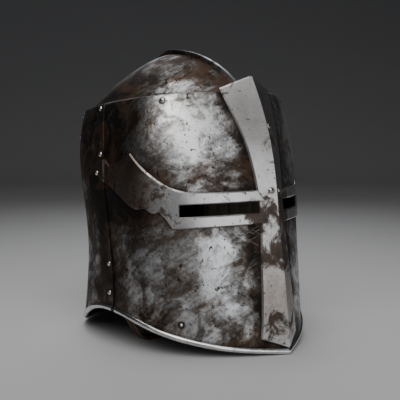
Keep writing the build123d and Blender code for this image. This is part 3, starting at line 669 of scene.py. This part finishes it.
def swollen(piece):
    """Fills a pad by cloth simulation. Each point stops at the room that it has."""
    mesh = piece.data
    start = [v.co.copy() for v in mesh.vertices]
    normals = [v.normal.copy() for v in mesh.vertices]
    cloth = piece.modifiers.new("filling", "CLOTH")
    cloth.settings.use_pressure = True
    cloth.settings.uniform_pressure_force = PAD_PRESSURE
    cloth.settings.effector_weights.gravity = 0
    cloth.settings.quality = PAD_QUALITY
    cloth.point_cache.frame_start = 1
    cloth.point_cache.frame_end = PAD_FRAMES
    scene = bpy.context.scene
    for step in range(1, PAD_FRAMES + 1):
        scene.frame_set(step)
    evaluated = piece.evaluated_get(bpy.context.evaluated_depsgraph_get())
    filled = [v.co.copy() for v in evaluated.data.vertices]
    piece.modifiers.remove(cloth)
    scene.frame_set(1)
    for vert, old, normal, new in zip(mesh.vertices, start, normals, filled):
        to_head = Vector((-old.x, HEAD_AXIS.y - old.y, 0)).normalized()
        share = max(0.0, normal.dot(to_head))
        room = PAD_ROOM + (PAD_SWELL - PAD_ROOM) * share
        move = new - old
        vert.co = old + move * min(1.0, room / max(move.length, WELD))
    mesh.update()


def subdivided(mesh, name):
    holder = new_object(name + "_holder", mesh)
    holder.modifiers.new("finer", "SUBSURF").levels = 1
    evaluated = holder.evaluated_get(bpy.context.evaluated_depsgraph_get())
    made = bpy.data.meshes.new_from_object(evaluated)
    bpy.data.objects.remove(holder)
    made.name = name
    return made


QUILT_FLATTEN = 60 * MM       # channels fade out nearer than this to the head's axis
QUILT_POWER = 0.55            # of the rise beside a channel: a smaller one makes it fuller
SEAM_FADE = 0.16              # where the mark beside a thread ends, as 0 at it and 1 midway


def quilt(mesh, step, depth, phase=0.0):
    """Presses sewn channels into a mesh, fanned round the head's axis, and marks them as seams."""
    seams = mesh.attributes.new("seam", "FLOAT", "POINT")

    def across(place):
        angle = math.atan2(place.x, place.y - HEAD_AXIS.y) + phase
        return abs(math.sin(math.pi * angle / step))

    def amount(place, normal):
        radius = math.hypot(place.x, place.y - HEAD_AXIS.y)
        fade = min(1.0, radius / QUILT_FLATTEN)
        return -depth * fade * (1 - across(place) ** QUILT_POWER)

    marks = [max(0.0, 1 - across(v.co) / SEAM_FADE) for v in mesh.vertices]
    move_along_normals(mesh, amount)
    seams.data.foreach_set("value", marks)


def cross_sections(mesh, point, normal):
    """The loops in which a plane cuts a mesh, as lists of (place, surface normal)."""
    bm = bmesh.new()
    bm.from_mesh(mesh)
    cut = bmesh.ops.bisect_plane(bm, geom=bm.verts[:] + bm.edges[:] + bm.faces[:],
                                 plane_co=point, plane_no=normal)["geom_cut"]
    left = {e for e in cut if isinstance(e, bmesh.types.BMEdge)}
    bm.normal_update()
    loops = []
    while left:
        first = min(left, key=lambda e: e.index)
        left.discard(first)
        chain = [first.verts[0], first.verts[1]]
        while True:
            onward = [e for e in chain[-1].link_edges if e in left]
            if not onward:
                break
            left.discard(onward[0])
            chain.append(onward[0].other_vert(chain[-1]))
        loops.append([(v.co.copy(), v.normal.copy()) for v in chain])
    bm.free()
    return loops


STITCH_SIDES = 6
STITCH_RINGS = (-1.0, -0.8, -0.35, 0.35, 0.8, 1.0)     # along a stitch, from its middle
STITCH_COVER = 0.68           # a stitch's length, as a share of the pitch
STITCH_STAND = 0.2            # how far its middle lies off the surface, as a share of its radius
CHANNEL_STITCH = (4.2 * MM, 0.42 * MM)                 # pitch and radius
STRAP_STITCH = (3.6 * MM, 0.40 * MM)


def add_stitch(bm, middle, along, up, length, radius):
    """One thread stitch: a short bar with rounded, sunken ends."""
    side = along.cross(up).normalized()
    rings = []
    for share in STITCH_RINGS:
        girth = radius * math.sqrt(max(0.02, 1 - share ** 4))
        sink = -radius * share ** 4
        centre = middle + along * (share * length / 2) + up * sink
        ring = []
        for k in range(STITCH_SIDES):
            turn = 2 * math.pi * k / STITCH_SIDES
            out = side * (girth * math.cos(turn)) + up * (girth * math.sin(turn))
            ring.append(bm.verts.new(centre + out))
        rings.append(ring)
    for low, high in zip(rings, rings[1:]):
        for k in range(STITCH_SIDES):
            nxt = (k + 1) % STITCH_SIDES
            bm.faces.new((low[k], low[nxt], high[nxt], high[k]))
    bm.faces.new(rings[0][::-1])
    bm.faces.new(rings[-1])


def sewn(name, loops, pitch, radius, material, slot, body, wanted=lambda place, normal: True):
    """A row of stitches along each loop, wherever wanted(place, normal) allows one."""
    bm = bmesh.new()
    for loop in loops:
        walked, due = 0.0, pitch / 2
        for (a, up_a), (b, up_b) in zip(loop, loop[1:]):
            run = (b - a).length
            while run > 0 and due <= walked + run:
                share = (due - walked) / run
                place = a.lerp(b, share)
                up = up_a.lerp(up_b, share).normalized()
                along = (b - a).normalized()
                along = (along - up * along.dot(up)).normalized()
                if wanted(place, up):
                    middle = place + up * radius * STITCH_STAND
                    add_stitch(bm, middle, along, up, pitch * STITCH_COVER, radius)
                due += pitch
            walked += run
    bmesh.ops.recalc_face_normals(bm, faces=bm.faces)
    mesh = to_mesh(bm, name)
    mesh.shade_smooth()
    settle(new_object(name, mesh, material), slot, body)


def make_pad(node, material, thread, step, phase=0.0):
    """A quilted pad: filled by simulation, then sewn into upright channels."""
    name = node.replace("pad", "cushion")
    mesh = remeshed(node, name, PAD_VOXEL)
    move_along_normals(mesh, lambda place, normal: -PAD_SHRINK)
    piece = new_object(name, mesh, material)
    swollen(piece)
    piece.data = subdivided(piece.data, name)
    quilt(piece.data, step, PAD_CHANNEL, phase)
    piece.data.shade_smooth()
    settle(piece, "liner_linen", body_of(node), node)
    sew_channels(piece, step, phase, thread)


SEWN_SPAN = 0.96              # thread runs only within this share of a piece's width


def sew_channels(piece, step, phase, thread):
    """The thread in a quilted piece's channels."""
    angles = [math.atan2(v.co.x, v.co.y - HEAD_AXIS.y) for v in piece.data.vertices]
    centre = math.atan2(*(sum((v.co for v in piece.data.vertices), Vector()) / len(angles)
                          - HEAD_AXIS).xy)
    offsets = [math.remainder(a - centre, 2 * math.pi) for a in angles]
    first = math.ceil((centre + min(offsets) * SEWN_SPAN + phase) / step)
    last = math.floor((centre + max(offsets) * SEWN_SPAN + phase) / step)
    loops = []
    for k in range(first, last + 1):
        angle = k * step - phase
        outward = Vector((math.sin(angle), math.cos(angle), 0))
        square = Vector((math.cos(angle), -math.sin(angle), 0))
        found = cross_sections(piece.data, HEAD_AXIS, square)
        loops += [loop for loop in found if (loop[0][0] - HEAD_AXIS).xy.dot(outward.xy) > 0]
    sewn(piece.name + "_thread", loops, *CHANNEL_STITCH, thread, "lace_linen", piece["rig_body"])


def make_tongue(number, material, thread, step):
    """One quilted tongue of the cap. It is too thin to fill, so its channels are only pressed in."""
    node = f"liner_tongue_{number}"
    name = f"cap_tongue_{number}"
    mesh = subdivided(remeshed(node, name, TONGUE_VOXEL), name)
    quilt(mesh, step, TONGUE_CHANNEL)
    mesh.shade_smooth()
    piece = settle(new_object(name, mesh, material), "liner_linen", body_of(node), node)
    sew_channels(piece, step, 0.0, thread)


CREASE_MARGIN = 1.7 * MM      # from a strap's edge to its creasing line
CREASE_DEPTH = 0.30 * MM
CREASE_WIDTH = 0.55 * MM
STITCH_MARGIN = 3.1 * MM      # from a strap's edge to its row of stitches
FLAT_FACING = 0.3             # a face that looks along the width less than this is a flat one


def creased(mesh, axis, half_width):
    """Presses a creasing line beside both edges of a strap; axis runs across its width."""
    middle = sum((v.co for v in mesh.vertices), Vector()) / len(mesh.vertices)
    lines = mesh.attributes.new("crease", "FLOAT", "POINT")

    def line(place, normal):
        from_edge = half_width - abs((place - middle).dot(axis))
        flat = 1 - min(1.0, abs(normal.dot(axis)) * 1.5)
        return flat * math.exp(-((from_edge - CREASE_MARGIN) / CREASE_WIDTH) ** 2)

    marks = [line(v.co, v.normal) for v in mesh.vertices]
    move_along_normals(mesh, lambda place, normal: -CREASE_DEPTH * line(place, normal))
    lines.data.foreach_set("value", marks)


def make_strap(node, name, axis, half_width, material, thread):
    """A leather strap with rounded edges, creasing lines, and a row of stitches inside each line."""
    mesh = remeshed(node, name, LEATHER_VOXEL, passes=3)
    creased(mesh, axis, half_width)
    mesh.shade_smooth()
    settle(new_object(name, mesh, material), "strap_leather", body_of(node), node)
    middle = sum((v.co for v in mesh.vertices), Vector()) / len(mesh.vertices)
    loops = []
    for sign in (-1, 1):
        loops += cross_sections(mesh, middle + axis * sign * (half_width - STITCH_MARGIN), axis)
    sewn(name + "_stitches", loops, *STRAP_STITCH, thread, "lace_linen", body_of(node),
         lambda place, normal: abs(normal.dot(axis)) < FLAT_FACING)


def make_leather(node, name, voxel, material, slot):
    """A cut leather piece with rounded edges."""
    mesh = remeshed(node, name, voxel, passes=3)
    mesh.shade_smooth()
    settle(new_object(name, mesh, material), slot, body_of(node), node)


LACE_STRANDS = 3
LACE_TWISTS = 26
LACE_STEPS = 360
LACE_SIDES = 8
LACE_STRAND = 0.235           # a strand's radius, as a share of the cord's thickness


def make_lace(material):
    """The lace that gathers the tongues: three strands laid up into a cord, in a closed ring."""
    low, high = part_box("crown_lace")
    centre = (low + high) / 2
    thickness = high.z - low.z
    ring_radius = (high.x - low.x - thickness) / 2
    strand_radius = thickness * LACE_STRAND
    lay = thickness / 2 - strand_radius
    bm = bmesh.new()
    for strand in range(LACE_STRANDS):
        rings = []
        for k in range(LACE_STEPS):
            turn = 2 * math.pi * k / LACE_STEPS
            twist = LACE_TWISTS * turn + 2 * math.pi * strand / LACE_STRANDS
            out = Vector((math.cos(turn), math.sin(turn), 0))
            spine = centre + out * (ring_radius + lay * math.cos(twist))
            spine.z += lay * math.sin(twist)
            ring = []
            for i in range(LACE_SIDES):
                around = 2 * math.pi * i / LACE_SIDES
                side = out * math.cos(around) + Vector((0, 0, math.sin(around)))
                ring.append(bm.verts.new(spine + side * strand_radius))
            rings.append(ring)
        for k in range(LACE_STEPS):
            here, onward = rings[k], rings[(k + 1) % LACE_STEPS]
            for i in range(LACE_SIDES):
                j = (i + 1) % LACE_SIDES
                bm.faces.new((here[i], here[j], onward[j], onward[i]))
    bmesh.ops.recalc_face_normals(bm, faces=bm.faces)
    mesh = to_mesh(bm, "crown_cord")
    mesh.shade_smooth()
    settle(new_object("crown_cord", mesh, material), "lace_linen", body_of("crown_lace"), "crown_lace")


# ---------------------------------------------------------------- stage
FLOOR_DROP = 0.0002           # the floor lies a hair under the helm
FLOOR_CENTRE = 0.02           # radius of its middle facet


def make_floor():
    """A level round floor that sweeps up into a backdrop."""
    profile = [(FLOOR_CENTRE, 0), (FLOOR_RADIUS / 2, 0)]
    for k in range(SWEEP_STEPS + 1):
        turn = math.pi / 2 * k / SWEEP_STEPS
        profile.append((FLOOR_RADIUS + SWEEP_RADIUS * math.sin(turn), SWEEP_RADIUS * (1 - math.cos(turn))))
    profile.append((FLOOR_RADIUS + SWEEP_RADIUS, WALL_TOP))
    bm = bmesh.new()
    rings = []
    for radius, height in profile:
        angles = [2 * math.pi * i / SWEEP_SIDES for i in range(SWEEP_SIDES)]
        rings.append([bm.verts.new((radius * math.cos(a), radius * math.sin(a), height - FLOOR_DROP))
                      for a in angles])
    bm.faces.new(rings[0])
    for low, high in zip(rings, rings[1:]):
        for i in range(SWEEP_SIDES):
            j = (i + 1) % SWEEP_SIDES
            bm.faces.new((low[i], high[i], high[j], low[j]))
    g = Graph("floor_paint")
    colour = g.mix(g.math("MULTIPLY", g.noise(3, 3), 0.3), FLOOR_COLOUR, FLOOR_CLOUD)
    floor = new_object("floor", to_mesh(bm, "floor"), g.finish(colour, 0.8))
    floor.data.shade_smooth()


def toward(azimuth, elevation):
    """The direction from the helm to something at an azimuth off the keel and an elevation, in degrees."""
    a, e = math.radians(azimuth), math.radians(elevation)
    return Vector((math.sin(a) * math.cos(e), -math.cos(a) * math.cos(e), math.sin(e)))


def make_studio():
    world = bpy.data.worlds.new("studio")
    world.use_nodes = True
    world.node_tree.nodes["Background"].inputs["Color"].default_value = SKY_COLOUR
    world.node_tree.nodes["Background"].inputs["Strength"].default_value = SKY_STRENGTH
    bpy.context.scene.world = world
    for name, azimuth, elevation, distance, size, watts, colour in LIGHTS:
        data = bpy.data.lights.new(name, "AREA")
        data.size = size
        data.energy = watts
        data.color = colour
        data.spread = LIGHT_SPREAD
        lamp = bpy.data.objects.new(name, data)
        away = toward(azimuth, elevation)
        lamp.location = CAMERA_TARGET + away * distance
        lamp.rotation_euler = (-away).to_track_quat("-Z", "Y").to_euler()
        bpy.context.scene.collection.objects.link(lamp)


def make_camera():
    back = toward(CAMERA_AZIMUTH, CAMERA_ELEVATION)
    right = Vector((0, 0, 1)).cross(back).normalized()
    up = back.cross(right)
    data = bpy.data.cameras.new("camera")
    data.lens = CAMERA_LENS
    data.sensor_width = SENSOR
    camera = bpy.data.objects.new("camera", data)
    slide = right * CAMERA_SLIDE[0] + up * CAMERA_SLIDE[1]
    camera.location = CAMERA_TARGET + back * CAMERA_DISTANCE + slide
    camera.rotation_euler = (-back).to_track_quat("-Z", "Y").to_euler()
    bpy.context.scene.collection.objects.link(camera)
    bpy.context.scene.camera = camera


# ---------------------------------------------------------------- the helm
def paint(material, *nodes):
    for node in nodes:
        for slot in NODES[node].material_slots:
            slot.material = material


def make_steel():
    plate = plate_steel()
    edge = bright_steel("filed_edge", 71, tone=0.86, nicks=0.35, crevice_shade=0.1)
    rivets = bright_steel("rivet_polish", 77)
    paint(skull_steel(), "skull_left", "skull_right")
    paint(comb_steel(), "comb")
    paint(bright_steel("rim_polish", 83), "rim_front", "rim_back")
    paint(rivets, "crown_rivets", "seam_rivets", "cross_rivets", "lining_rivets", "strap_rivets")
    paint(bright_steel("burr_metal", 89, tone=0.36), "rivet_burrs")
    paint(brass(), "buckle_frame", "buckle_prong")
    filed("cross_reinforce", "cross_plate", EDGE_BEVEL, cross_steel(), edge)
    filed("front_plate", "face_plate", SHEET_BEVEL, plate, edge)
    filed("back_plate", "nape_plate", SHEET_BEVEL, plate, edge)


def make_lining():
    cloth = linen("quilted_linen", (0.36, 0.30, 0.215), (0.60, 0.535, 0.42), 101)
    thread = twine("waxed_thread", (0.50, 0.43, 0.31), 111)
    make_pad("brow_pad", cloth, thread, math.radians(8))
    make_pad("nape_pad", cloth, thread, math.radians(8), math.radians(4))
    make_pad("cheek_pad_right", cloth, thread, math.radians(11))
    make_pad("cheek_pad_left", cloth, thread, math.radians(11))
    for number in range(1, 7):
        make_tongue(number, cloth, thread, math.radians(12))
    make_lace(twine("lace_twine", (0.42, 0.35, 0.25), 115))


def make_leatherwork():
    oiled = leather("oiled_leather", (0.034, 0.017, 0.009), (0.105, 0.052, 0.026), 121, crease="crease")
    tanned = leather("tanned_leather", (0.120, 0.066, 0.034), (0.260, 0.155, 0.085), 127)
    thread = twine("strap_thread", (0.55, 0.47, 0.33), 131)
    bar = next(j for j in frame["joints"] if j["child"] == "buckle_frame")["axis"]
    left_axis = Vector(bar).normalized()
    right_axis = Vector((-left_axis.x, left_axis.y, 0))
    make_strap("chin_strap_right", "long_strap", right_axis, STRAP_HALF_WIDTH, oiled, thread)
    make_strap("chin_strap_left", "short_strap", left_axis, STRAP_HALF_WIDTH, oiled, thread)
    make_leather("strap_keeper", "keeper_loop", LEATHER_VOXEL * 0.7, tanned, "strap_leather")
    make_leather("liner_band", "head_band", BAND_VOXEL, tanned, "band_leather")
    make_leather("tie_tabs", "lining_tabs", LEATHER_VOXEL * 0.8, tanned, "band_leather")


RIVET_TOPS = rivet_tops("crown_rivets", "seam_rivets", "cross_rivets", "lining_rivets")

make_camera()
make_floor()
make_studio()
make_steel()
make_lining()
make_leatherwork()
